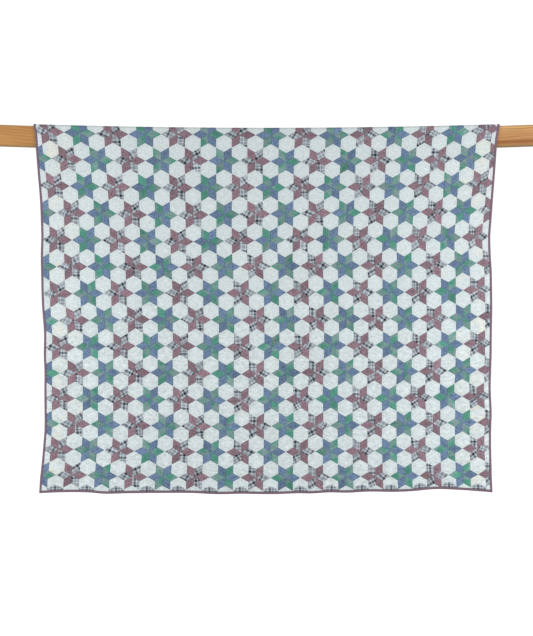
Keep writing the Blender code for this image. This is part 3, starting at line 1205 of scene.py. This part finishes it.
CLOTH_LENGTH = front_hem(CLOTH_WIDTH / 2) - back_hem(CLOTH_WIDTH / 2)


# Stage. A plain white floor well below the hem, and a white surround that is seen but throws
# no light. Two tall soft boxes stand at the sides, the right one a little stronger, and a
# wide one lights the back.

FLOOR_BELOW = 0.68
SURROUND_RADIUS = 16.0
QUILT_MIDDLE = Vector((RAIL_MIDDLE, -0.03, (cad_box[0].z + cad_box[1].z) / 2))
SIDE_BOX_AWAY = 2.5
SIDE_BOX_BEFORE = 1.8
SIDE_BOX_BELOW = 0.15
LEFT_WATTS = 38.0
RIGHT_WATTS = 43.2
BACK_WATTS = 60.0
ALL_ROUND_LIGHT = 0.44


def stage_white(name, glow, white):
    finish = Finish(name, Base_Color=white, Roughness=0.9, Specular_IOR_Level=0.1)
    finish.shader.inputs["Emission Color"].default_value = (1.0, 1.0, 1.0, 1.0)
    finish.shader.inputs["Emission Strength"].default_value = glow
    return finish.material


def stand(name, mesh, material):
    """A part of the stage. It is seen, but bounces no light and shows in no reflection."""
    data = bpy.data.meshes.new(name)
    mesh.to_mesh(data)
    mesh.free()
    data.materials.append(material)
    piece = bpy.data.objects.new(name, data)
    bpy.context.scene.collection.objects.link(piece)
    piece.visible_diffuse = False
    piece.visible_glossy = False
    return piece


ground = bmesh.new()
bmesh.ops.create_circle(ground, cap_ends=True, segments=96, radius=SURROUND_RADIUS)
floor = stand("floor", ground, stage_white("floor_white", 0.85, (0.6, 0.6, 0.6, 1.0)))
floor.location = (RAIL_MIDDLE, 0.0, cad_box[0].z - FLOOR_BELOW)

sky = bmesh.new()
bmesh.ops.create_icosphere(sky, subdivisions=4, radius=SURROUND_RADIUS + 2.0)
surround = stand("surround", sky, stage_white("surround_white", 1.05, (0.0, 0.0, 0.0, 1.0)))
surround.location = (RAIL_MIDDLE, 0.0, 0.0)
surround.visible_shadow = False


def soft_box(name, place, width, height, power):
    """An area lamp that is turned to the quilt's middle and isn't seen itself."""
    light = bpy.data.lights.new(name, "AREA")
    light.shape = "RECTANGLE"
    light.size = width
    light.size_y = height
    light.energy = power
    box = bpy.data.objects.new(name, light)
    box.location = place
    box.rotation_euler = (QUILT_MIDDLE - Vector(place)).to_track_quat("-Z", "Y").to_euler()
    box.visible_camera = False
    bpy.context.scene.collection.objects.link(box)


for name, side, power in (("left_box", -1, LEFT_WATTS), ("right_box", 1, RIGHT_WATTS)):
    across = RAIL_MIDDLE + side * SIDE_BOX_AWAY
    place = (across, -SIDE_BOX_BEFORE, QUILT_MIDDLE.z - SIDE_BOX_BELOW)
    soft_box(name, place, width=0.9, height=2.4, power=power)
soft_box("back_box", (RAIL_MIDDLE, 3.0, 0.4), width=3.0, height=1.6, power=BACK_WATTS)

world = bpy.data.worlds.new("studio")
bpy.context.scene.world = world
world.use_nodes = True
background = world.node_tree.nodes["Background"]
background.inputs["Color"].default_value = (1.0, 1.0, 1.0, 1.0)
background.inputs["Strength"].default_value = ALL_ROUND_LIGHT


# Camera. Level and square on to the quilt, a little below its middle, from across a room.

CAMERA_BACK = 5.32
CAMERA_HEIGHT = -0.735
CAMERA_LENS = 70.5
SENSOR_WIDTH = 36.0

lens = bpy.data.cameras.new("camera")
lens.lens = CAMERA_LENS
lens.sensor_width = SENSOR_WIDTH
camera = bpy.data.objects.new("camera", lens)
camera.location = (RAIL_MIDDLE, -CAMERA_BACK, CAMERA_HEIGHT)
camera.rotation_euler = (math.pi / 2, 0.0, 0.0)
bpy.context.scene.collection.objects.link(camera)
bpy.context.scene.camera = camera
bpy.context.scene.view_settings.view_transform = "Standard"
